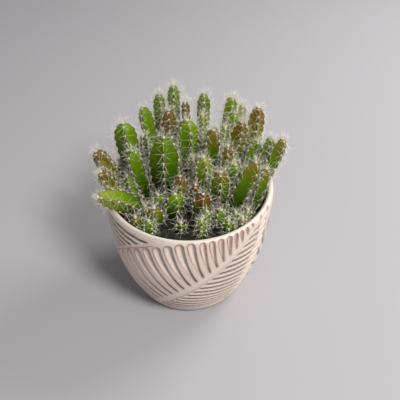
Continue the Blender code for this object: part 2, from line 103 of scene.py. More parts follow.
def soft_light(name, place, size, watts):
    """A round area light that points at the plant."""
    light = bpy.data.lights.new(name, "AREA")
    light.shape = "DISK"
    light.size = size
    light.energy = watts
    item = bpy.data.objects.new(name, light)
    item.location = place
    item.rotation_euler = (LIGHT_AIM - Vector(place)).to_track_quat("-Z", "Y").to_euler()
    bpy.context.scene.collection.objects.link(item)


floor_shape = bmesh.new()
bmesh.ops.create_grid(floor_shape, x_segments=1, y_segments=1, size=FLOOR_SIZE / 2)
floor = add_piece("floor", floor_shape)
floor_material, floor_tree, floor_shader = new_material("floor_matte")
floor_shader.inputs["Base Color"].default_value = (*FLOOR_COLOUR, 1.0)
floor_shader.inputs["Roughness"].default_value = 0.9
floor.data.materials.append(floor_material)
soft_light("key", *KEY_LIGHT)
soft_light("rim", *RIM_LIGHT)
world = bpy.data.worlds.new("sky")
world.use_nodes = True
world.node_tree.nodes["Background"].inputs["Color"].default_value = (*SKY_COLOUR, 1.0)
world.node_tree.nodes["Background"].inputs["Strength"].default_value = SKY_STRENGTH
bpy.context.scene.world = world


# Bowl
# A cast stoneware bowl with three broad leaves laid round it in relief, under a cream glaze that
# lies brown in the grooves and breaks to orange brown on fine edges. Painted shade darkens the
# grooves further, and the lip's top and the lower bowl are painted darker as shade too. It is
# turned as one shell, and the leaves are pressed into its outside by a formula.
RIM_RADIUS = 0.0600
POT_HEIGHT = 0.0960
FOOT_RADIUS = 0.0380
FOOT_ROUND = 0.0014
FOOT_BEVEL = 0.0030
FOOT_BEVEL_RISE = 0.0003
FOOT_SHRINK = 0.0006
BELLY_DROP = 0.0200
BELLY_POWER = 2.6
WALL = 0.0045
FLOOR_THICKNESS = 0.0070
FLOOR_RADIUS = 0.0345
LIP_HEIGHT = 0.0030
LIP_STEPS = 10
INSIDE_HEIGHTS = (0.090, 0.084, 0.062, 0.032, 0.012)
BELOW_LEAVES = 0.0030
BELOW_LEAVES_ROWS = 5
TURN_STEPS = 600

# Leaves: how far they stand out, their midribs and their left edges
RELIEF = 0.0018
RELIEF_FOOT = 0.0090
RELIEF_TOP = 0.0957
RELIEF_FADE = 0.0006
RELIEF_ROWS = 130
LEAF_OFFSETS = (-120.0, 0.0, 105.0)
MIDRIB_START = -32.0
MIDRIB_LOW = 0.0051
MIDRIB_CLIMB = 0.00112
MIDRIB_EASE = 0.0000010
MIDRIB_WIDE = 0.0098
MIDRIB_TAPER = 0.000055
MIDRIB_LEAN = 0.68
MIDRIB_PROUD = 0.0004
MARGIN_TOP = 0.0992
MARGIN_FALL = 0.0000500
MARGIN_POWER = 1.62
MARGIN_BAND = 0.0040
SHOULDER_ANGLE = -72.0
SHOULDER_SWEEP = 8.0
SHOULDER_DROP = 0.0360
TIP_CEILING = 0.0992
SIDE_LEAF = 2
SIDE_MARGIN = ((0.009, -68.0), (0.020, -66.0), (0.040, -62.0), (0.051, -59.6), (0.060, -56.4),
               (0.070, -53.9), (0.080, -52.5), (0.088, -51.5), (0.096, -49.0))

# Round lobes down the edge of the leaf on the right
LOBE_PITCH = 0.0066
LOBE_START = 0.0855
LOBE_RISE = 0.00018
LOBE_LENGTH = 0.0110
LOBE_END = 0.0003
LOBE_HALF = 0.44
LOBE_DEPTH = 0.0011
LOBE_ROUND = (-0.0002, 0.0012)
LOBE_SHADE = (-0.0006, 0.0002)
LOBE_LINES_FROM = (0.066, 0.080)
LOBE_LINE = 0.5

# Gouges between a leaf's fingers, which widen to round ends and are steep on the right, with painted
# shade on that wall, at their narrow feet and under the tops of their arches
FINGER_PITCH = 4.545
FIRST_FOOT = -55.4
LAST_FOOT = 60.0
FINGER_BEND = 1.8
WIDEST_SPACING = 0.0110
ANGLE_STEP = 0.2
HEIGHT_STEP = 0.0002
HALVINGS = 26
TIP_LINES = ((1.66, -15.3), (1.30, -10.2), (0.95, 0.4))
GOUGE_DEPTH = 0.0014
GOUGE_SKEW = 0.75
GOUGE_HALF = 0.19
GOUGE_WIDENING = 0.16
GOUGE_WIDENS = (0.1, 0.75)
GOUGE_SLIMMING = 0.15
GOUGE_SLIMS = (-10.0, 15.0)
WALL_SHADE = 0.95
WALL_SHADES = (-0.2, 0.6)
FOOT_SHADES = (0.05, 0.50)
END_PALING = 0.45
END_PALES = (0.4, 0.95)
SHADE_CURVE = 0.7
CAP_SHADE = 0.65
CAP_REACH = 0.0035
CAP_FADES = (-30.0, 10.0)
LINE_NEEDS = (0.0002, 0.0016)
LINE_FADING = 0.60
LINE_FADES = (0.004, 0.028)
ARCH_LINE = 0.0014
ARCH_LINE_END = -22.0

# Veins under the midrib, which crowd and thin towards the foot and sink to the right
VEIN_PITCH = 4.571
FIRST_VEIN = -52.0
VEIN_SPACING = 0.0062
VEIN_CROWDING = 0.55
VEIN_CROWDS = (0.012, 0.045)
VEIN_HALF = 0.0017
VEIN_THINNING = 0.6
VEIN_THINS = (0.012, 0.040)
VEIN_WALL = (-0.0001, 0.0006)
VEIN_STARTS = (0.5, 5.0)
VEIN_STOPS = (0.0912, 0.0930)
VEIN_PROUD = 0.0015
VEIN_SINK = 0.0004
VEIN_DEPTH = 0.0011
VEIN_FALL = 0.009
VEIN_CEILING = 0.1
VEIN_FLOOR = 0.0080

# The midrib, the slit along its lower edge and the step at a leaf's left edge
MIDRIB_CURVE = 1.15
MIDRIB_EDGE = 0.0008
SLIT_DROP = 0.0003
SLIT_HALF = 0.0005
SLIT_DEPTH = 0.0010
SLIT_SHADE = 0.9
MARGIN_STEP = 0.0006
MARGIN_PROUD = 0.0008
MARGIN_LINE = 0.5
LINE_REACH = 0.003

# Glaze
GLAZE_CREAM = (0.78, 0.62, 0.53, 1.0)
GLAZE_PALE = (0.83, 0.71, 0.62, 1.0)
# Painted shade: the lip's top gets a darker glaze colour to hold down the light that falls on it
LIP_GLAZE_PAINTED_SHADE = (0.66, 0.58, 0.49, 1.0)
# Brown of glaze lying in the grooves, used also as painted shade on the gouges' right walls, at their
# feet, under the arch tops, in the veins, in the midrib slit and between the lobes
GROOVE_GLAZE_AND_SHADE = (0.13, 0.080, 0.062, 1.0)
GLAZE_EDGE = (0.34, 0.13, 0.075, 1.0)
LIP_BAND = 0.0030
EDGE_REACH = 0.85
GROOVE_SHADE = 0.92
# Painted shade: the glaze darkens towards the foot of the bowl
LOW_SHADE = 0.74
LOW_SHADE_HEIGHT = 0.030
CLOUD_SCALE = 60.0
BREAK_SCALE = 260.0
BREAK_NOISE = (0.25, 0.65)
BREAK_SHARE = (0.65, 1.0)
PIT_SCALE = 900.0
PIT_STRENGTH = 0.12
PIT_DEPTH = 0.0003
GLAZE_ROUGHNESS = (0.30, 0.46)


def bowl_radius(height):
    """Outer radius of the bowl over its relief."""
    return RIM_RADIUS - BELLY_DROP * (1.0 - height / POT_HEIGHT) ** BELLY_POWER


def outer_radius(height):
    """Outer radius of the bowl, which turns in over the round of its lip."""
    over = np.clip((height - POT_HEIGHT + LIP_HEIGHT) / LIP_HEIGHT, 0.0, 1.0)
    return bowl_radius(height) - WALL / 2 * (1.0 - np.sqrt(1.0 - over * over))


def smooth_step(value, low, high):
    """A smooth rise from 0 at the low end to 1 at the high end."""
    share = np.clip((value - low) / (high - low), 0.0, 1.0)
    return share * share * (3.0 - 2.0 * share)


def bisect(rising, target, low, high):
    """Where a rising function of one array reaches its target, for every point at once."""
    low = np.array(low, float)
    high = np.array(high, float)
    for _ in range(HALVINGS):
        middle = (low + high) / 2
        under = rising(middle) < target
        low = np.where(under, middle, low)
        high = np.where(under, high, middle)
    return (low + high) / 2


def midrib_height(angle):
    """Height of the midrib's lower edge."""
    along = angle - MIDRIB_START
    return MIDRIB_LOW + MIDRIB_CLIMB * along - MIDRIB_EASE * along * along


def midrib_top(angle):
    """Height of the midrib's upper edge."""
    return midrib_height(angle) + MIDRIB_WIDE - MIDRIB_TAPER * (angle - MIDRIB_START)


def crown(angle):
    """Height of a leaf's upper edge, left of its highest point."""
    return MARGIN_TOP - MARGIN_FALL * np.abs(np.minimum(angle, 0.0)) ** MARGIN_POWER


def margin_angle(height):
    """Angle of a leaf's left edge at a height."""
    shoulder = crown(SHOULDER_ANGLE)
    upper = -(np.maximum(0.0, MARGIN_TOP - height) / MARGIN_FALL) ** (1.0 / MARGIN_POWER)
    lower = SHOULDER_ANGLE - SHOULDER_SWEEP * (shoulder - height) / SHOULDER_DROP
    return np.where(height > shoulder, upper, lower)


def finger_ends(feet):
    """Height of each finger's foot on the midrib, and angle and height of its round tip."""
    foot_height = np.maximum(RELIEF_FOOT, midrib_top(feet))
    tip = np.min([slope * feet + start for slope, start in TIP_LINES], 0)
    shoulder_foot = (SHOULDER_ANGLE - TIP_LINES[0][1]) / TIP_LINES[0][0]
    share = (shoulder_foot - feet) / (shoulder_foot - FIRST_FOOT)
    low = feet < shoulder_foot
    tip_angle = np.where(low, SHOULDER_ANGLE - SHOULDER_SWEEP * share, tip)
    upper = np.minimum(crown(tip), TIP_CEILING)
    return foot_height, tip_angle, np.where(low, crown(SHOULDER_ANGLE) - SHOULDER_DROP * share, upper)


def along_finger(feet, height):
    """How far up its finger a point at this height is, from 0 at the midrib to 1 at the tip."""
    foot_height, _, tip_height = finger_ends(feet)
    return np.clip((height - foot_height) / np.maximum(tip_height - foot_height, 1e-5), 0.0, 1.0)


def finger_angle(feet, height):
    """Angle at which the finger with this foot passes this height."""
    _, tip_angle, _ = finger_ends(feet)
    swing = 1.0 - (1.0 - along_finger(feet, height)) ** FINGER_BEND
    return feet + (tip_angle - feet) * swing


def vein_height(feet, angle):
    """Height at which the vein with this foot passes this angle, on its way down to the right."""
    foot_height = midrib_height(feet)
    fall = VEIN_FALL * (1.0 - foot_height / VEIN_CEILING)
    return VEIN_FLOOR + (foot_height - VEIN_FLOOR) * np.exp(-fall * (angle - feet))


def from_groove(feet, first, pitch):
    """Distance from the middle of the nearest groove, as a share of the pitch, from -0.5 to 0.5."""
    phase = (feet - first) / pitch
    return phase - np.floor(phase) - 0.5


def finger_feet(angle, height):
    """Foot of the finger that passes each point."""
    return bisect(lambda feet: finger_angle(feet, height), angle,
                  np.full(angle.shape, FIRST_FOOT), np.full(angle.shape, LAST_FOOT))


def finger_spacing(feet, angle, height, per_degree):
    """Distance square across from one finger to the next at each point."""
    by_angle = (finger_feet(angle + ANGLE_STEP, height) - feet) / (ANGLE_STEP * per_degree)
    by_height = (finger_feet(angle, height + HEIGHT_STEP) - feet) / HEIGHT_STEP
    crowding = np.maximum(np.hypot(by_angle, by_height), 1.0)
    return np.minimum(WIDEST_SPACING, FINGER_PITCH / crowding)


def side_lobes(past, height, per_degree):
    """The round lobes down the edge of the leaf on the right: depth between them and on it."""
    rise = (height - LOBE_START - LOBE_RISE * past) / LOBE_PITCH
    aside = (rise - np.floor(rise) - 0.5) * LOBE_PITCH
    half = LOBE_HALF * LOBE_PITCH
    along = past * per_degree
    from_end = np.minimum(along, LOBE_LENGTH - along)
    inside = half - np.hypot(aside, np.maximum(0.0, half - from_end))
    return inside, 1.0 - smooth_step(along, LOBE_LENGTH - LOBE_END, LOBE_LENGTH + LOBE_END)


def finger_relief(local, past, height, per_degree):
    """The gouges between the fingers: how proud a point stands, how far it is into a gouge, how
    dark its painted shade is, how far it is from the nearest edge and how strongly the glaze breaks
    there."""
    feet = finger_feet(local, height)
    foot_height, _, tip_height = finger_ends(feet)
    share = along_finger(feet, height)
    spacing = finger_spacing(feet, local, height, per_degree)
    half = spacing * (GOUGE_HALF + GOUGE_WIDENING * smooth_step(share, *GOUGE_WIDENS))
    half = half * (1.0 - GOUGE_SLIMMING * smooth_step(local, *GOUGE_SLIMS))
    sideways = from_groove(feet, FIRST_FOOT, FINGER_PITCH) * spacing
    from_tip = np.maximum((1.0 - share) * (tip_height - foot_height), 0.0)
    from_edge = np.minimum(from_tip, past * per_degree) - MARGIN_BAND
    from_end = np.minimum(from_edge, (height - foot_height) * MIDRIB_LEAN)
    inside = half - np.hypot(sideways, np.maximum(0.0, half - from_end))
    across = np.clip(sideways / half, -1.0, 1.0)
    hollow = 1.0 - (1.0 - np.clip(inside / half, 0.0, 1.0)) ** 2
    proud = RELIEF - GOUGE_DEPTH * hollow * (1.0 + GOUGE_SKEW * across)

    # Painted shade: each gouge is darkened on its right wall, at its narrow foot and, on a leaf's left
    # part, under the top of its arch, less towards the tips
    narrow = 1.0 - smooth_step(share, *FOOT_SHADES)
    walls = WALL_SHADE * smooth_step(across, *WALL_SHADES)
    shade = hollow ** SHADE_CURVE * np.maximum(walls, narrow)
    shade = shade * (1.0 - END_PALING * smooth_step(share, *END_PALES))
    capped = np.exp(-(from_edge / CAP_REACH) ** 2) * hollow * (1.0 - smooth_step(local, *CAP_FADES))
    shade = np.maximum(shade, CAP_SHADE * capped)

    over_arches = from_edge + ARCH_LINE
    arched = (np.abs(over_arches) < np.abs(inside)) & (local < ARCH_LINE_END)
    outline = np.where(arched, over_arches, inside)
    fading = 1.0 - LINE_FADING * smooth_step(from_edge, *LINE_FADES)
    strength = smooth_step(half, *LINE_NEEDS) * fading
    return proud, hollow, shade, outline, strength


def vein_relief(local, height, reach):
    """The veins under the midrib: how proud a point stands, and how deep in a groove it is."""
    feet = bisect(lambda foot: vein_height(foot, local), height,
                  np.full(local.shape, MIDRIB_START), np.minimum(local, LAST_FOOT))
    crowding = VEIN_CROWDING + (1.0 - VEIN_CROWDING) * smooth_step(height, *VEIN_CROWDS)
    aside = np.abs(from_groove(feet, FIRST_VEIN, VEIN_PITCH)) * VEIN_SPACING * crowding
    thinning = VEIN_THINNING + (1.0 - VEIN_THINNING) * smooth_step(height, *VEIN_THINS)
    fading = smooth_step(local - feet, *VEIN_STARTS) * (1.0 - smooth_step(height, *VEIN_STOPS))
    vein = smooth_step(VEIN_HALF * thinning - aside, *VEIN_WALL) * fading
    under_next = np.clip((local - feet) / np.maximum(reach - feet, 1.0), 0.0, 1.0)
    return VEIN_PROUD - VEIN_SINK * under_next - VEIN_DEPTH * vein, vein


def leaf_relief(angle, height):
    """How proud the relief stands, how dark a point is from glaze lying in the grooves and painted
    shade, how far in millimetres it is from the nearest edge of the relief, and how strongly the glaze
    breaks on that edge."""
    margins = [margin_angle(height) for _ in LEAF_OFFSETS]
    margins[SIDE_LEAF] = np.interp(height, *zip(*SIDE_MARGIN))
    beyond = np.array([(angle - offset - margin) % 360.0
                       for offset, margin in zip(LEAF_OFFSETS, margins)])
    covering = beyond.argmin(0)
    past = beyond.min(0)
    local = past + np.choose(covering, margins)
    to_next = np.roll(LEAF_OFFSETS, -1) - np.array(LEAF_OFFSETS)
    reach = (to_next % 360.0)[covering] + np.choose((covering + 1) % len(margins), margins)
    per_degree = math.tau * bowl_radius(height) / 360.0
    finger_proud, hollow, shade, outline, strength = finger_relief(local, past, height, per_degree)
    vein_proud, vein = vein_relief(local, height, reach)

    off_low = (height - midrib_height(local)) * MIDRIB_LEAN
    band_half = (midrib_top(local) - midrib_height(local)) * MIDRIB_LEAN / 2
    off_middle = (off_low - band_half) / (MIDRIB_CURVE * band_half)
    rounding = np.sqrt(np.clip(1.0 - off_middle ** 2, 0.0, 1.0))
    above = smooth_step(off_low, 0.0, MIDRIB_EDGE)
    slit = np.exp(-((off_low + SLIT_DROP) / SLIT_HALF) ** 2)
    proud = vein_proud + (finger_proud - vein_proud) * above
    proud = proud + MIDRIB_PROUD * rounding * above * (1.0 - hollow) - SLIT_DEPTH * slit
    # The darkness in the veins and the midrib slit is glaze lying in the grooves with painted shade
    groove = np.maximum(vein * (1.0 - above), shade * above)
    groove = np.maximum(groove, SLIT_SHADE * slit)

    lobe_in, lobed = side_lobes(past, height, per_degree)
    lobed = np.where(covering == SIDE_LEAF, lobed, 0.0)
    lobe_proud = RELIEF - LOBE_DEPTH * (1.0 - smooth_step(lobe_in, *LOBE_ROUND))
    proud = proud + (lobe_proud - proud) * lobed
    high = smooth_step(height, *LOBE_LINES_FROM)
    # Painted shadow between the lobes, high on the leaf on the right
    between = high * (1.0 - smooth_step(lobe_in, *LOBE_SHADE))
    groove = groove + (between - groove) * lobed
    outline = np.where(lobed > 0.5, lobe_in, outline)
    calm = np.where(covering == SIDE_LEAF, high, 1.0)
    strength = calm * (strength * above * (1.0 - lobed) + LOBE_LINE * lobed)

    edge_step = smooth_step(past * per_degree, 0.0, MARGIN_STEP)
    at_margin = past * per_degree < np.abs(outline)
    outline = np.where(at_margin, past * per_degree, outline)
    strength = np.where(at_margin, MARGIN_LINE * (covering != SIDE_LEAF), strength)
    rises = smooth_step(height, RELIEF_FOOT - RELIEF, RELIEF_FOOT)
    kept = rises * (1.0 - smooth_step(height, RELIEF_TOP - RELIEF_FADE, RELIEF_TOP))
    proud = MARGIN_PROUD + (proud - MARGIN_PROUD) * edge_step
    proud = RELIEF + (proud - RELIEF) * kept
    outline = 1000.0 * np.clip(outline, -LINE_REACH, LINE_REACH)
    return proud, groove * kept * edge_step, outline, strength * kept


def turned(profile, steps, merge=0.000001):
    """A closed bmesh from a profile of radii and heights, turned round the Z axis."""
    shape = bmesh.new()
    points = [shape.verts.new((radius, 0.0, height)) for radius, height in profile]
    edges = [shape.edges.new(pair) for pair in zip(points, points[1:])]
    bmesh.ops.spin(shape, geom=points + edges, cent=(0, 0, 0), axis=(0, 0, 1), angle=math.tau,
                   steps=steps, use_merge=True, use_duplicate=False)
    bmesh.ops.remove_doubles(shape, verts=shape.verts, dist=merge)
    bmesh.ops.recalc_face_normals(shape, faces=shape.faces)
    return shape


def bowl_profile():
    """Radii and heights of the plain shell, from the middle of its foot to the middle inside."""
    outside = [(0.0, 0.0), (FOOT_RADIUS - FOOT_BEVEL, 0.0), (FOOT_RADIUS, FOOT_BEVEL_RISE),
               (bowl_radius(0.5 * FOOT_ROUND) - FOOT_SHRINK, 0.5 * FOOT_ROUND),
               (bowl_radius(FOOT_ROUND), FOOT_ROUND)]
    low = RELIEF_FOOT - RELIEF
    heights = np.linspace(BELOW_LEAVES, low, BELOW_LEAVES_ROWS, endpoint=False)
    outside += [(bowl_radius(height), height) for height in heights]
    rows = [low + (RELIEF_TOP - low) * k / RELIEF_ROWS for k in range(RELIEF_ROWS + 1)]
    outside += [(outer_radius(height) - RELIEF, height) for height in rows]
    lip = []
    lip_start = math.asin((RELIEF_TOP - POT_HEIGHT + LIP_HEIGHT) / LIP_HEIGHT)
    for step in range(1, LIP_STEPS + 1):
        angle = lip_start + (math.pi - lip_start) * step / LIP_STEPS
        lip.append((RIM_RADIUS - WALL / 2 + math.cos(angle) * WALL / 2,
                    POT_HEIGHT - LIP_HEIGHT + math.sin(angle) * LIP_HEIGHT))
    inside = [(bowl_radius(height) - WALL, height) for height in INSIDE_HEIGHTS]
    return outside + lip + inside + [(FLOOR_RADIUS, FLOOR_THICKNESS), (0.0, FLOOR_THICKNESS)]


def make_bowl():
    """The turned shell with the leaves pressed into it, and their values for its glaze and painted shade.
    """
    bowl = add_piece("bowl_glazed", turned(bowl_profile(), TURN_STEPS))
    places = np.zeros(len(bowl.data.vertices) * 3)
    bowl.data.vertices.foreach_get("co", places)
    places = places.reshape(-1, 3)
    radius = np.hypot(places[:, 0], places[:, 1])
    angle = np.degrees(np.arctan2(places[:, 0], -places[:, 1]))
    height = places[:, 2]
    own = outer_radius(np.minimum(height, POT_HEIGHT)) - RELIEF
    pressed = (height > RELIEF_FOOT - RELIEF - 1e-6) & (height < RELIEF_TOP + 1e-6)
    pressed &= np.abs(radius - own) < 1e-5
    proud, groove, outline, strength = leaf_relief(angle[pressed], height[pressed])
    places[pressed, 0] *= (own[pressed] + proud) / own[pressed]
    places[pressed, 1] *= (own[pressed] + proud) / own[pressed]
    bowl.data.vertices.foreach_set("co", places.astype(np.float32).ravel())

    # Glaze values: the darkness in the grooves, which is glaze lying there with painted shade; the
    # strength of the break on edges; and the lip band, which gets painted shade
    glaze = np.zeros((len(places), 3), np.float32)
    glaze[pressed, 0] = groove
    glaze[pressed, 1] = strength
    glaze[:, 2] = smooth_step(height, RELIEF_TOP - LIP_BAND, RELIEF_TOP)
    values = bowl.data.attributes.new("glaze", "FLOAT_VECTOR", "POINT")
    values.data.foreach_set("vector", glaze.ravel())
    away = np.full(len(places), 1000.0 * LINE_REACH, np.float32)
    away[pressed] = outline
    values = bowl.data.attributes.new("outline", "FLOAT", "POINT")
    values.data.foreach_set("value", away)
    bowl.data.shade_smooth()
    return bowl


def attribute(tree, name):
    """Values that are stored in the piece's mesh."""
    node = tree.nodes.new("ShaderNodeAttribute")
    node.attribute_name = name
    return node


def three_parts(tree, vector):
    """The X, Y and Z outputs of a vector."""
    node = tree.nodes.new("ShaderNodeSeparateXYZ")
    tree.links.new(vector, node.inputs[0])
    return node.outputs


def own_place(tree):
    """The piece's own coordinates, in metres."""
    return tree.nodes.new("ShaderNodeTexCoord").outputs["Object"]


def noise_value(tree, scale, detail=2.0):
    """A noise texture that is fixed to the piece."""
    node = tree.nodes.new("ShaderNodeTexNoise")
    node.inputs["Scale"].default_value = scale
    node.inputs["Detail"].default_value = detail
    tree.links.new(own_place(tree), node.inputs["Vector"])
    return node.outputs["Fac"]


def mapped(tree, value, old, new, kind="LINEAR"):
    """A value carried from an old range to a new one, and held at both ends."""
    node = tree.nodes.new("ShaderNodeMapRange")
    node.interpolation_type = kind
    for name, number in zip(("From Min", "From Max", "To Min", "To Max"), (*old, *new)):
        node.inputs[name].default_value = number
    tree.links.new(value, node.inputs["Value"])
    return node.outputs["Result"]


def mixed(tree, first, second, factor):
    """Two colours mixed by a factor. The first is a plain colour or another node's output."""
    node = tree.nodes.new("ShaderNodeMix")
    node.data_type = "RGBA"
    if isinstance(first, bpy.types.NodeSocket):
        tree.links.new(first, node.inputs["A"])
    else:
        node.inputs["A"].default_value = first
    node.inputs["B"].default_value = second
    tree.links.new(factor, node.inputs["Factor"])
    return node.outputs["Result"]


def product(tree, first, second):
    node = tree.nodes.new("ShaderNodeMath")
    node.operation = "MULTIPLY"
    tree.links.new(first, node.inputs[0])
    tree.links.new(second, node.inputs[1])
    return node.outputs["Value"]


def scaled(tree, colour, factor):
    node = tree.nodes.new("ShaderNodeVectorMath")
    node.operation = "SCALE"
    tree.links.new(colour, node.inputs[0])
    tree.links.new(factor, node.inputs["Scale"])
    return node.outputs["Vector"]


def add_bump(tree, shader, height, strength, distance):
    """Fine relief on a shader, from a value."""
    node = tree.nodes.new("ShaderNodeBump")
    node.inputs["Strength"].default_value = strength
    node.inputs["Distance"].default_value = distance
    tree.links.new(height, node.inputs["Height"])
    tree.links.new(node.outputs["Normal"], shader.inputs["Normal"])


def glaze_material():
    """Cream glaze, thicker and darker in the grooves, with painted shade there too, on the lip's top
    and towards the foot, and worn to orange brown on fine edges.
    """
    material, tree, shader = new_material("cream_glaze")
    groove, strength, near_lip = three_parts(tree, attribute(tree, "glaze").outputs["Vector"])
    clouds = noise_value(tree, CLOUD_SCALE, detail=4.0)
    body = mixed(tree, GLAZE_CREAM, GLAZE_PALE, clouds)
    # Painted shade on the lip's top
    body = mixed(tree, body, LIP_GLAZE_PAINTED_SHADE, near_lip)
    # Painted shade, darker towards the foot
    height = three_parts(tree, own_place(tree))["Z"]
    body = scaled(tree, body, mapped(tree, height, (0.0, LOW_SHADE_HEIGHT), (LOW_SHADE, 1.0)))
    # Brown of glaze lying in the grooves, with painted shade in them
    body = mixed(tree, body, GROOVE_GLAZE_AND_SHADE, mapped(tree, groove, (0.0, 1.0), (0.0, GROOVE_SHADE)))

    apart = tree.nodes.new("ShaderNodeMath")
    apart.operation = "ABSOLUTE"
    tree.links.new(attribute(tree, "outline").outputs["Fac"], apart.inputs[0])
    on_line = mapped(tree, apart.outputs["Value"], (0.0, EDGE_REACH), (1.0, 0.0), "SMOOTHSTEP")
    uneven = mapped(tree, noise_value(tree, BREAK_SCALE), BREAK_NOISE, BREAK_SHARE)
    worn = product(tree, product(tree, on_line, strength), uneven)
    tree.links.new(mixed(tree, body, GLAZE_EDGE, worn), shader.inputs["Base Color"])

    add_bump(tree, shader, noise_value(tree, PIT_SCALE), PIT_STRENGTH, PIT_DEPTH)
    shine = mapped(tree, clouds, (0.0, 1.0), GLAZE_ROUGHNESS)
    tree.links.new(shine, shader.inputs["Roughness"])
    return material


bowl = make_bowl()
bowl.data.materials.append(glaze_material())
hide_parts("pot")
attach(bowl, "root")


# Soil
# Dark, peaty potting mix fills the bowl to 12 mm under its rim. It is one turned block with an
# uneven top, and loose crumbs lie on it.
SOIL_TOP = 0.0840
SOIL_EDGE_DROP = 0.0010
SOIL_RINGS = 36
SOIL_STEPS = 150
SOIL_ROUGH = 0.0009
LUMP_SCALE = 160.0
LUMP_SLICE = 3.0
GRIT_SCALE = 420.0
GRIT_SLICE = 9.0
GRIT_SHARE = 0.6
GAP = 0.0004
SOIL_SEED = 11
CRUMBS = 460
CRUMB_SPIN = 7.0
CRUMB_SIZES = (0.0004, 0.0012)
CRUMB_LENGTHS = (0.8, 1.5)
CRUMB_HEIGHTS = (0.5, 0.9)
CRUMB_AREA = 0.94
SOIL_FLOOR_RADIUS = 0.0340
GRAIN_SCALE = 520.0
GRAIN_STRENGTH = 0.8
GRAIN_RELIEF = 0.0008
SOIL_ROUGHNESS = 0.95
SOIL_STOPS = ((0.42, (0.010, 0.008, 0.007, 1.0)), (0.72, (0.060, 0.045, 0.034, 1.0)))


def soil_level(x, y):
    """Height of the uneven top at a place."""
    fall = SOIL_EDGE_DROP * (math.hypot(x, y) / (RIM_RADIUS - WALL)) ** 4
    lumps = noise.noise(Vector((x * LUMP_SCALE, y * LUMP_SCALE, LUMP_SLICE)))
    grit = noise.noise(Vector((x * GRIT_SCALE, y * GRIT_SCALE, GRIT_SLICE)))
    return SOIL_TOP - fall + SOIL_ROUGH * (lumps + GRIT_SHARE * grit)


def make_soil(rng):
    """The turned block, its top made uneven, and the crumbs."""
    edge = bowl_radius(SOIL_TOP) - WALL - GAP
    heights = reversed(INSIDE_HEIGHTS[2:])
    profile = [(0.0, FLOOR_THICKNESS + GAP), (SOIL_FLOOR_RADIUS, FLOOR_THICKNESS + GAP)]
    profile += [(bowl_radius(height) - WALL - GAP, height) for height in heights]
    profile += [(edge, SOIL_TOP - 2 * SOIL_EDGE_DROP)]
    profile += [(edge * (1.0 - k / SOIL_RINGS), SOIL_TOP) for k in range(SOIL_RINGS + 1)]
    shape = turned(profile, SOIL_STEPS)
    for vert in shape.verts:
        if vert.co.z > SOIL_TOP - SOIL_EDGE_DROP:
            vert.co.z = soil_level(vert.co.x, vert.co.y)
    for _ in range(CRUMBS):
        turn = rng.uniform(0.0, math.tau)
        reach = edge * math.sqrt(rng.uniform(0.0, CRUMB_AREA))
        x, y = reach * math.sin(turn), reach * math.cos(turn)
        size = rng.uniform(*CRUMB_SIZES)
        stretch = Matrix.Diagonal((rng.uniform(*CRUMB_LENGTHS), 1.0, rng.uniform(*CRUMB_HEIGHTS), 1.0))
        spot = Matrix.Translation((x, y, soil_level(x, y)))
        place = spot @ Matrix.Rotation(turn * CRUMB_SPIN, 4, "Z") @ stretch
        bmesh.ops.create_icosphere(shape, subdivisions=1, radius=size, matrix=place)
    soil = add_piece("soil_crumbly", shape)
    soil.data.shade_smooth()
    return soil


def ramp(tree, value, stops):
    """A colour that changes with a value, by stops of position and colour."""
    node = tree.nodes.new("ShaderNodeValToRGB")
    elements = node.color_ramp.elements
    for element, (position, colour) in zip(elements, (stops[0], stops[-1])):
        element.position = position
        element.color = colour
    for position, colour in stops[1:-1]:
        elements.new(position).color = colour
    tree.links.new(value, node.inputs["Fac"])
    return node.outputs["Color"]


def soil_material():
    """Black and brown grains, rough and matte."""
    material, tree, shader = new_material("potting_soil")
    grains = noise_value(tree, GRAIN_SCALE, detail=6.0)
    tree.links.new(ramp(tree, grains, SOIL_STOPS), shader.inputs["Base Color"])
    add_bump(tree, shader, grains, GRAIN_STRENGTH, GRAIN_RELIEF)
    shader.inputs["Roughness"].default_value = SOIL_ROUGHNESS
    return material


soil = make_soil(random.Random(SOIL_SEED))
soil.data.materials.append(soil_material())
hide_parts("soil")
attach(soil, "root")


# Stems
# Fifty-seven young stems stand in the soil. Each is one waxy ribbed column, swept along its middle
# line, with notched ribs that carry woolly cushions, and every cushion bears a star of spines.
STEM_SEED = 5
STEM_DEPTH = 0.0030
KNEE_DROP = 0.4
DOME_LIMIT = 0.45
DOME_WIDTHS = 0.9
FOOT_SHARE = 0.60
DOME_POWER = 2.6
VALLEY_SHARES = {4: 0.64, 5: 0.72}
LEAN_FROM = 3.0
AXIS_STEP = 0.02
RIB_STEPS = 10
ROW_STEP = 0.0008
CREST_CROWDING = 1.5
CREST_ROUND = 0.09
CREST_GAIN = 1.05
SCALLOP = 0.070
SCALLOP_LEVEL = 0.6
AREOLE_SPACING = 0.0038
AREOLE_BY_WIDTH = 0.21
TIP_CROWDING = 0.9
TIP_REACH = 0.7
FIRST_AREOLE = 0.25
LAST_AREOLE = 0.2
RIB_SHIFTS = {4: 0.5, 5: 0.4}
AREOLE_GRID = 400
SLOPE_STEP = 0.001
STEEPEST = 3.0
ROOT_REACH = 0.93
WOOL_RADIUS = 0.00066
WOOL_SIZES = (0.85, 1.2)
TIP_WOOL = 1.8
SPINE_LENGTH = 0.0070
SPINE_BY_WIDTH = 0.14
SPINE_THICKNESS = 0.000095
RADIAL_SPINES = 7
TIP_SPINES = 24
SHORT_STEM = 0.0250
SHORT_RADIAL_SPINES = 5
SHORT_TIP_SPINES = 12
SPINE_LEANS = (50.0, 84.0)
CENTRE_LEANS = (0.0, 35.0)
SPINE_JITTER = 0.25
SPINE_LENGTHS = (0.55, 1.1)
TIP_LEANS = (5.0, 65.0)
TIP_LENGTHS = (0.5, 1.0)
TIP_SINK = 0.0004
TIP_SPREAD = 0.08
SPINE_BENDS = (-2.5, -1.2, 1.2, 2.5)
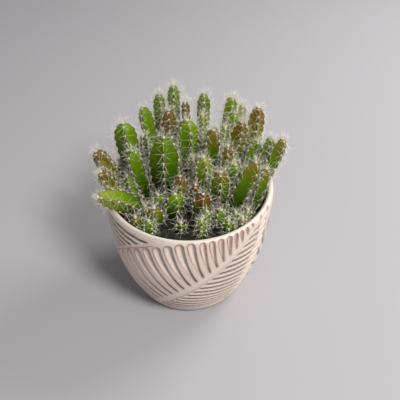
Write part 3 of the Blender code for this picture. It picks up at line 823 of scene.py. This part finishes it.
SPINE_BEND_AT = 0.5
SPINE_WAIST = 0.75
SPINE_MARKS = (0.25, 0.5, 0.75, 1.0)
SHORTEST_SPINE = 0.001
CORE_POINTS = 24
CORE_SHARE = 0.8
BOWL_CLEARANCE = 0.0003
SOIL_CLEARANCE = 0.0002
UP = np.array((0.0, 0.0, 1.0))
FRONT = np.array((0.0, -1.0, 0.0))

# Each row is a stem: base x and y, tip x and y, height above the soil, width over the ribs,
# number of ribs, turn of the first rib from the front in degrees, outward bow, and tone.
Stem = namedtuple("Stem", "base_x base_y tip_x tip_y height width ribs turn bow tone")
STEMS = [Stem(*row) for row in (
    (-0.0110, 0.041, -0.0110, 0.054, 0.057, 0.0095, 5, 0, 0.000, "moss"),
    (-0.0205, 0.036, -0.0215, 0.047, 0.054, 0.0090, 4, 20, 0.000, "moss"),
    (-0.0235, 0.027, -0.0325, 0.043, 0.046, 0.0120, 4, -20, 0.000, "leaf"),
    (-0.0110, 0.027, -0.0140, 0.036, 0.048, 0.0115, 5, 0, 0.000, "rust"),
    (0.0005, 0.033, -0.0025, 0.039, 0.053, 0.0060, 4, 0, 0.000, "rust"),
    (0.0095, 0.042, 0.0110, 0.049, 0.053, 0.0100, 5, 0, 0.000, "moss"),
    (0.0100, 0.029, 0.0100, 0.034, 0.045, 0.0060, 4, 0, 0.000, "lime"),
    (0.0240, 0.038, 0.0310, 0.046, 0.052, 0.0095, 5, 10, 0.000, "leaf"),
    (0.0365, 0.032, 0.0385, 0.043, 0.048, 0.0060, 4, 0, 0.000, "pale"),
    (0.0270, 0.030, 0.0330, 0.035, 0.046, 0.0115, 5, 0, 0.000, "leaf"),
    (0.0425, 0.021, 0.0495, 0.039, 0.048, 0.0125, 5, 5, 0.000, "rust"),
    (0.0290, 0.017, 0.0375, 0.025, 0.045, 0.0115, 4, 5, 0.000, "rust"),
    (0.0405, 0.010, 0.0490, 0.021, 0.032, 0.0110, 5, 0, 0.000, "leaf"),
    (0.0465, 0.003, 0.0570, 0.014, 0.040, 0.0095, 5, 0, 0.002, "moss"),
    (0.0435, -0.0085, 0.0645, 0.0080, 0.0435, 0.0110, 4, 15, 0.0035, "olive"),
    (0.0220, 0.027, 0.0260, 0.024, 0.042, 0.0070, 4, 0, 0.000, "leaf"),
    (0.0155, 0.014, 0.0173, 0.012, 0.048, 0.0135, 4, 45, 0.000, "olive"),
    (0.0260, 0.006, 0.0275, 0.011, 0.035, 0.0085, 5, 0, 0.000, "rust"),
    (-0.0015, 0.017, -0.0005, 0.018, 0.052, 0.0155, 5, 20, 0.000, "leaf"),
    (-0.0170, 0.003, -0.0160, 0.000, 0.051, 0.0215, 5, 0, 0.000, "deep"),
    (-0.0410, 0.021, -0.0450, 0.019, 0.049, 0.0160, 4, 10, 0.000, "leaf"),
    (-0.0300, -0.001, -0.0380, 0.000, 0.040, 0.0135, 4, 60, 0.000, "leaf"),
    (-0.0425, 0.006, -0.0630, 0.003, 0.037, 0.0120, 5, 0, 0.002, "rust"),
    (-0.0420, -0.007, -0.0585, -0.0115, 0.031, 0.0110, 5, 0, 0.002, "rust"),
    (-0.0325, -0.0185, -0.0585, -0.0325, 0.0274, 0.0145, 4, 40, -0.005, "lime"),
    (-0.0350, -0.0125, -0.0425, -0.0035, 0.021, 0.0070, 4, 0, 0.000, "leaf"),
    (0.0115, -0.005, 0.0105, -0.005, 0.038, 0.0105, 4, 20, 0.000, "lime"),
    (0.0035, 0.003, 0.0035, 0.001, 0.033, 0.0065, 4, 0, 0.000, "leaf"),
    (0.0210, -0.014, 0.0220, -0.013, 0.032, 0.0135, 5, 0, 0.000, "olive"),
    (0.0305, -0.0045, 0.0320, -0.0065, 0.033, 0.0105, 4, 15, 0.000, "leaf"),
    (0.0315, -0.0185, 0.0455, -0.009, 0.037, 0.0155, 4, 18, 0.000, "olive"),
    (0.0435, -0.0185, 0.0535, -0.005, 0.028, 0.0095, 4, 40, 0.001, "olive"),
    (0.0390, -0.0285, 0.0405, -0.0275, 0.011, 0.0065, 4, 0, 0.000, "leaf"),
    (-0.0040, -0.009, -0.0055, -0.007, 0.023, 0.0110, 5, 0, 0.000, "rust"),
    (0.0035, -0.0135, 0.0050, -0.0125, 0.020, 0.0080, 4, 0, 0.000, "red"),
    (0.0095, -0.0245, 0.0103, -0.023, 0.021, 0.0145, 5, 0, 0.000, "red"),
    (-0.0095, -0.024, -0.0085, -0.025, 0.023, 0.0130, 4, 20, 0.000, "leaf"),
    (-0.0215, -0.017, -0.0205, -0.018, 0.016, 0.0080, 5, 0, 0.000, "leaf"),
    (-0.0215, -0.033, -0.0223, -0.033, 0.018, 0.0115, 4, 0, 0.000, "olive"),
    (-0.0335, -0.037, -0.0347, -0.038, 0.014, 0.0095, 4, 10, 0.000, "olive"),
    (-0.0250, -0.043, -0.0255, -0.0420, 0.015, 0.0080, 4, 30, 0.000, "leaf"),
    (-0.0045, -0.038, -0.0045, -0.038, 0.009, 0.0065, 4, 0, 0.000, "olive"),
    (0.0218, -0.034, 0.0221, -0.034, 0.017, 0.0090, 4, 45, 0.000, "leaf"),
    (0.0090, -0.043, 0.0092, -0.043, 0.017, 0.0065, 4, 0, 0.000, "lime"),
    (0.0270, -0.041, 0.0269, -0.041, 0.014, 0.0075, 4, 0, 0.000, "leaf"),
    (0.0355, -0.036, 0.0362, -0.038, 0.014, 0.0060, 4, 0, 0.000, "pale"),
    (0.0310, -0.030, 0.0320, -0.032, 0.013, 0.0060, 4, 0, 0.000, "moss"),
    (-0.0300, 0.013, -0.0325, 0.024, 0.035, 0.0060, 4, 0, 0.000, "dark"),
    (0.0000, 0.048, 0.0020, 0.052, 0.024, 0.0080, 5, 0, 0.000, "leaf"),
    (-0.0360, 0.034, -0.0390, 0.036, 0.020, 0.0060, 4, 0, 0.000, "leaf"),
    (0.0180, 0.046, 0.0200, 0.050, 0.022, 0.0070, 5, 0, 0.000, "moss"),
    (-0.0190, 0.045, -0.0210, 0.050, 0.019, 0.0060, 4, 0, 0.000, "leaf"),
    (-0.0290, -0.026, -0.0290, -0.026, 0.013, 0.0070, 4, 15, 0.000, "moss"),
    (0.0130, -0.0344, 0.0130, -0.0344, 0.016, 0.0080, 4, 30, 0.000, "leaf"),
    (-0.0120, 0.018, -0.0120, 0.019, 0.028, 0.0060, 4, 20, 0.000, "moss"),
    (0.0120, 0.005, 0.0120, 0.005, 0.022, 0.0065, 4, 10, 0.000, "leaf"),
    (0.0385, 0.001, 0.0385, 0.001, 0.019, 0.0065, 4, 30, 0.000, "leaf"),
)]


def unit(rows):
    return rows / np.linalg.norm(rows, axis=-1, keepdims=True)


def stem_length(stem):
    return math.dist((stem.base_x, stem.base_y, 0.0), (stem.tip_x, stem.tip_y, stem.height))


def stem_axis(stem, share):
    """Points on a stem's middle line, a bowed line from its base to its tip."""
    share = np.asarray(share, float)[:, None]
    base = np.array((stem.base_x, stem.base_y, SOIL_TOP + GAP))
    tip = np.array((stem.tip_x, stem.tip_y, SOIL_TOP + stem.height))
    outward = unit(np.array((stem.tip_x, stem.tip_y, 0.0)))
    knee = (base + tip) / 2 + outward * stem.bow - UP * KNEE_DROP * stem.bow
    return base * (1 - share) ** 2 + knee * 2 * share * (1 - share) + tip * share ** 2


def dome_share(stem):
    """Share of a stem's length that its round tip takes."""
    return min(DOME_LIMIT, DOME_WIDTHS * stem.width / stem.height)


def rib_radius(stem, share):
    """Radius over the ribs."""
    dome = dome_share(stem)
    up_dome = np.clip((share - 1.0 + dome) / dome, 0.0, 1.0)
    swell = np.sin(math.pi / 2 * np.clip(share / (1.0 - dome), 0.0, 1.0))
    radius = stem.width / 2 * (FOOT_SHARE + (1.0 - FOOT_SHARE) * swell)
    return radius * np.sqrt(1.0 - up_dome ** DOME_POWER)


def stem_frame(stem, share):
    """Centres, axis directions, front directions and side directions of a stem's sections."""
    share = np.asarray(share, float)
    above = stem_axis(stem, np.minimum(1.0, share + AXIS_STEP))
    below = stem_axis(stem, np.maximum(0.0, share - AXIS_STEP))
    lean = np.clip(share * LEAN_FROM, 0.0, 1.0)[:, None]
    along = unit(UP * (1.0 - lean) + unit(above - below) * lean)
    front = unit(FRONT - along * (along @ FRONT)[:, None])
    return stem_axis(stem, share), along, front, np.cross(along, front)


def areoles_above(stem, share):
    """How many areoles a rib has between its tip and this share of its length."""
    from_tip = (1.0 - share) * stem_length(stem)
    spacing = AREOLE_SPACING + AREOLE_BY_WIDTH * stem.width
    return from_tip / spacing + TIP_CROWDING * (1.0 - np.exp(-from_tip / (TIP_REACH * stem.width)))


def first_areole(stem, rib):
    """Where the count of areoles from the tip starts on a rib."""
    return FIRST_AREOLE + np.mod(RIB_SHIFTS[stem.ribs] * rib, 1.0)


def skin_rows(stem):
    """Share of the length and depth below the base of each row of the skin, from foot to tip."""
    dome = dome_share(stem)
    length = stem_length(stem)
    straight = np.linspace(0.0, 1.0 - dome, max(3, round(length * (1.0 - dome) / ROW_STEP)))
    climb = np.linspace(0.0, math.pi / 2, 4 + round(length * dome / ROW_STEP))[1:]
    share = np.concatenate(([0.0, 0.0], straight, 1.0 - dome + dome * np.sin(climb)))
    return share, np.concatenate(([STEM_DEPTH, STEM_DEPTH], np.zeros(len(share) - 2)))


def column(rows, ribs):
    """A round column of unit radius whose rows lie one unit apart, closed at both ends."""
    profile = [(1.0 if 0 < k < rows - 1 else 0.0, k) for k in range(rows)]
    return turned(profile, ribs * RIB_STEPS, merge=0.0001)


def skin_places(stem, unit_places, share_rows, depth_rows):
    """Where the column's points go on this stem, with crest and rise values for its skin."""
    row = np.rint(unit_places[:, 2]).astype(int)
    share = share_rows[row]
    turn = np.arctan2(unit_places[:, 1], unit_places[:, 0])
    half = math.pi / stem.ribs
    rib = np.round(turn / (2 * half))
    off = turn - 2 * half * rib
    off = half * np.sign(off) * (np.abs(off) / half) ** CREST_CROWDING
    near = np.hypot(off, CREST_ROUND * half) / math.hypot(1.0, CREST_ROUND)
    radius = rib_radius(stem, share)
    crest = radius * CREST_GAIN
    valley = radius * VALLEY_SHARES[stem.ribs]
    slant = valley * np.sin(half - near) + crest * np.sin(near)
    flat = crest * valley * math.sin(half) / np.maximum(slant, 1e-9)
    ridge = 1.0 - np.abs(off) / half
    between = np.abs(np.sin(math.pi * (areoles_above(stem, share) - first_areole(stem, rib))))
    reach = flat + SCALLOP * 2.0 * radius * (between - SCALLOP_LEVEL) * ridge ** 3
    reach = reach * np.minimum(1.0, np.hypot(unit_places[:, 0], unit_places[:, 1]))
    centre, _, front, side = stem_frame(stem, share)
    heading = 2 * half * rib + off + math.radians(stem.turn)
    outward = front * np.cos(heading)[:, None] + side * np.sin(heading)[:, None]
    places = centre + outward * reach[:, None] - UP * depth_rows[row][:, None]
    return places, np.stack((ridge, share, np.zeros(len(share))), 1)


def spine_mesh(bend):
    """A thin three-sided spine of unit length and root radius, bent a little."""
    shape = bmesh.new()
    bmesh.ops.create_cone(shape, cap_ends=True, segments=3, radius1=1.0, radius2=SPINE_WAIST,
                          depth=SPINE_BEND_AT, matrix=Matrix.Translation((0, 0, SPINE_BEND_AT / 2)))
    upper = [vert for vert in shape.verts if vert.co.z > SPINE_BEND_AT / 2]
    bmesh.ops.translate(shape, verts=upper, vec=(bend, 0, 0))
    cap = [face for face in shape.faces if all(vert in upper for vert in face.verts)]
    point = bmesh.ops.poke(shape, faces=cap)["verts"][0]
    point.co = (0.0, 0.0, 1.0)
    for face in shape.faces:
        face.material_index = 2
    return make_mesh("spine", shape)


def wool_mesh():
    """A round cushion of unit radius."""
    shape = bmesh.new()
    bmesh.ops.create_icosphere(shape, subdivisions=1, radius=1.0)
    for face in shape.faces:
        face.material_index = 1
        face.smooth = True
    return make_mesh("wool", shape)


def add_copy(shape, mesh, matrix):
    """Adds a moved copy of a mesh to a bmesh."""
    copy = mesh.copy()
    copy.transform(matrix)
    shape.from_mesh(copy)
    bpy.data.meshes.remove(copy)


def areole_sites(stem):
    """Root, facing direction and upward direction of every areole, rib by rib."""
    grid = np.linspace(0.0, 1.0, AREOLE_GRID)
    counts = areoles_above(stem, grid)
    marks = []
    for rib in range(stem.ribs):
        for count in np.arange(first_areole(stem, rib), counts[0] - LAST_AREOLE, 1.0):
            marks.append((np.interp(-count, -counts, grid), rib))
    share = np.array([mark[0] for mark in marks])
    rib = np.array([mark[1] for mark in marks])
    centre, along, front, side = stem_frame(stem, share)
    heading = 2 * math.pi * rib / stem.ribs + math.radians(stem.turn)
    outward = front * np.cos(heading)[:, None] + side * np.sin(heading)[:, None]
    below = rib_radius(stem, share - SLOPE_STEP)
    above = rib_radius(stem, np.minimum(share + SLOPE_STEP, 1.0))
    slope = np.clip((below - above) / (2 * SLOPE_STEP * stem_length(stem)), 0.0, STEEPEST)
    facing = unit(outward + along * slope[:, None])
    roots = centre + outward * (rib_radius(stem, share) * CREST_GAIN * ROOT_REACH)[:, None]
    return roots, facing, unit(along - facing * (along * facing).sum(1)[:, None])


def plan_spines(stem, rng):
    """Root, direction and length of every spine of a stem."""
    spines = []
    full = SPINE_LENGTH + SPINE_BY_WIDTH * stem.width
    short = stem.height < SHORT_STEM
    radial = SHORT_RADIAL_SPINES if short else RADIAL_SPINES
    for root, facing, along in zip(*areole_sites(stem)):
        side = np.cross(along, facing)
        start = rng.uniform(0.0, math.tau)
        for k in range(radial + 1):
            lean = math.radians(rng.uniform(*(SPINE_LEANS if k else CENTRE_LEANS)))
            turn = start + math.tau * k / radial + rng.uniform(-SPINE_JITTER, SPINE_JITTER)
            around = along * math.cos(turn) + side * math.sin(turn)
            direction = facing * math.cos(lean) + around * math.sin(lean)
            spines.append((root, direction, full * rng.uniform(*SPINE_LENGTHS)))
    centre, along, front, side = [rows[0] for rows in stem_frame(stem, np.array([1.0]))]
    for _ in range(SHORT_TIP_SPINES if short else TIP_SPINES):
        lean = math.radians(rng.uniform(*TIP_LEANS))
        turn = rng.uniform(0.0, math.tau)
        around = front * math.cos(turn) + side * math.sin(turn)
        root = centre - along * TIP_SINK + around * TIP_SPREAD * stem.width * rng.random()
        direction = along * math.cos(lean) + around * math.sin(lean)
        spines.append((root, direction, full * rng.uniform(*TIP_LENGTHS)))
    return [np.array(values) for values in zip(*spines)]


def free_lengths(number, roots, directions, lengths):
    """Each spine's length cut short of the other stems, the bowl and the soil."""
    share = np.linspace(0.0, 1.0, CORE_POINTS)
    others = [other for index, other in enumerate(STEMS) if index != number]
    cores = np.concatenate([stem_axis(other, share) for other in others])
    radii = np.concatenate([CORE_SHARE * rib_radius(other, share) for other in others])
    free = np.zeros(len(roots))
    clear = np.ones(len(roots), bool)
    for mark in SPINE_MARKS:
        points = roots + directions * (lengths * mark)[:, None]
        gaps = (points ** 2).sum(1)[:, None] + (cores ** 2).sum(1) - 2.0 * points @ cores.T
        clear &= (gaps > radii ** 2).all(1)
        reach = np.hypot(points[:, 0], points[:, 1])
        clear &= (points[:, 2] > POT_HEIGHT) | (reach < RIM_RADIUS - WALL - BOWL_CLEARANCE)
        clear &= points[:, 2] > SOIL_TOP + SOIL_CLEARANCE
        free[clear] = mark
    return lengths * free


def make_stem(number, stem, rng, spine_meshes, wool):
    """One stem with its skin, its cushions and its spines."""
    share_rows, depth_rows = skin_rows(stem)
    piece = add_piece("cactus_%02d" % (number + 1), column(len(share_rows), stem.ribs))
    unit_places = np.zeros(len(piece.data.vertices) * 3)
    piece.data.vertices.foreach_get("co", unit_places)
    places, skin = skin_places(stem, unit_places.reshape(-1, 3), share_rows, depth_rows)
    piece.data.vertices.foreach_set("co", places.astype(np.float32).ravel())
    values = piece.data.attributes.new("skin", "FLOAT_VECTOR", "POINT")
    values.data.foreach_set("vector", skin.astype(np.float32).ravel())

    shape = bmesh.new()
    shape.from_mesh(piece.data)
    for root in areole_sites(stem)[0]:
        size = WOOL_RADIUS * rng.uniform(*WOOL_SIZES)
        add_copy(shape, wool, Matrix.Translation(root) @ Matrix.Scale(size, 4))
    tip = stem_axis(stem, [1.0])[0]
    add_copy(shape, wool, Matrix.Translation(tip) @ Matrix.Scale(WOOL_RADIUS * TIP_WOOL, 4))
    roots, directions, lengths = plan_spines(stem, rng)
    lengths = free_lengths(number, roots, directions, lengths)
    for root, direction, length in zip(roots, directions, lengths):
        if length > SHORTEST_SPINE:
            swing = Vector(direction).to_track_quat("Z", "Y").to_matrix().to_4x4()
            roll = Matrix.Rotation(rng.uniform(0.0, math.tau), 4, "Z")
            stretch = Matrix.Diagonal((SPINE_THICKNESS, SPINE_THICKNESS, length, 1.0))
            place = Matrix.Translation(root) @ swing @ roll @ stretch
            add_copy(shape, rng.choice(spine_meshes), place)
    shape.to_mesh(piece.data)
    shape.free()
    piece.data.shade_smooth()
    return piece


# Skins: each tone's colour low on the stem, half-way up, at its tip and along its ribs. The dark colour
# low on the stem is painted shade.
TONES = {
    "leaf": ((0.016, 0.048, 0.002), (0.098, 0.185, 0.001), (0.130, 0.215, 0.003), (0.080, 0.026, 0.007)),
    "lime": ((0.028, 0.075, 0.003), (0.130, 0.225, 0.002), (0.210, 0.240, 0.022), (0.130, 0.055, 0.010)),
    "deep": ((0.016, 0.048, 0.002), (0.072, 0.150, 0.001), (0.084, 0.145, 0.002), (0.090, 0.032, 0.007)),
    "moss": ((0.025, 0.060, 0.006), (0.090, 0.160, 0.012), (0.120, 0.175, 0.022), (0.110, 0.060, 0.018)),
    "olive": ((0.012, 0.040, 0.002), (0.080, 0.145, 0.002), (0.145, 0.112, 0.008), (0.080, 0.026, 0.007)),
    "rust": ((0.025, 0.060, 0.003), (0.145, 0.140, 0.004), (0.140, 0.070, 0.010), (0.060, 0.013, 0.005)),
    "red": ((0.020, 0.050, 0.004), (0.080, 0.080, 0.005), (0.130, 0.045, 0.014), (0.110, 0.020, 0.009)),
    "dark": ((0.015, 0.035, 0.004), (0.040, 0.075, 0.006), (0.060, 0.095, 0.012), (0.060, 0.030, 0.010)),
    "pale": ((0.080, 0.100, 0.030), (0.200, 0.220, 0.080), (0.320, 0.320, 0.170), (0.260, 0.180, 0.100)),
}
TONE_STOPS = (0.15, 0.66, 0.98)
BLOTCH_SCALE = 240.0
BLOTCH_NOISE = (0.30, 0.55)
BLOTCH_SHARE = (0.55, 1.0)
FLUSH_RIDGE = (0.80, 0.96)
FLUSH_RISE = (0.82, 0.96)
FLUSH_FADING = (1.0, 0.20)
MOTTLE = (0.75, 1.25)
WAX_STRENGTH = 0.25
WAX_RELIEF = 0.0004
SKIN_ROUGHNESS = 0.50
SKIN_SPECULAR = 0.10
WOOL_CREAM = (0.78, 0.72, 0.58, 1.0)
WOOL_ROUGHNESS = 0.9
SPINE_WHITE = (0.97, 0.93, 0.72, 1.0)
SPINE_ROUGHNESS = 0.5
STREAK_SCALE = 700.0
STREAK_SHADE = 0.8


def skin_material(name, colours):
    """Waxy skin, coloured by its height on the stem with painted shade low down, flushed along its ribs
    and blotched.
    """
    material, tree, shader = new_material(name)
    *rise, rib_colour = [(*colour, 1.0) for colour in colours]
    ridge, share, _ = three_parts(tree, attribute(tree, "skin").outputs["Vector"])
    # Painted shade: the low colour darkens the foot of each stem
    body = ramp(tree, share, list(zip(TONE_STOPS, rise)))
    blotches = noise_value(tree, BLOTCH_SCALE, detail=3.0)
    spread = mapped(tree, blotches, BLOTCH_NOISE, BLOTCH_SHARE)
    flush = product(tree, mapped(tree, ridge, FLUSH_RIDGE, (0.0, 1.0)), spread)
    flush = product(tree, flush, mapped(tree, share, FLUSH_RISE, FLUSH_FADING))
    body = mixed(tree, body, rib_colour, flush)
    mottle = mapped(tree, blotches, (0.0, 1.0), MOTTLE)
    tree.links.new(scaled(tree, body, mottle), shader.inputs["Base Color"])
    add_bump(tree, shader, blotches, WAX_STRENGTH, WAX_RELIEF)
    shader.inputs["Roughness"].default_value = SKIN_ROUGHNESS
    shader.inputs["Specular IOR Level"].default_value = SKIN_SPECULAR
    return material


def plain_material(name, colour, roughness):
    """One colour with fine streaks of a darker one."""
    material, tree, shader = new_material(name)
    darker = (*[STREAK_SHADE * value for value in colour[:3]], 1.0)
    tint = mixed(tree, darker, colour, noise_value(tree, STREAK_SCALE))
    tree.links.new(tint, shader.inputs["Base Color"])
    shader.inputs["Roughness"].default_value = roughness
    return material


skins = {tone: skin_material("skin_" + tone, colours) for tone, colours in TONES.items()}
wool_material = plain_material("areole_wool", WOOL_CREAM, WOOL_ROUGHNESS)
spine_material = plain_material("spines", SPINE_WHITE, SPINE_ROUGHNESS)
spine_meshes = [spine_mesh(bend) for bend in SPINE_BENDS]
wool = wool_mesh()
stem_rng = random.Random(STEM_SEED)
for number, stem in enumerate(STEMS):
    piece = make_stem(number, stem, stem_rng, spine_meshes, wool)
    for material in (skins[stem.tone], wool_material, spine_material):
        piece.data.materials.append(material)
    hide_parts("stem_%02d" % (number + 1))
    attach(piece, "root")
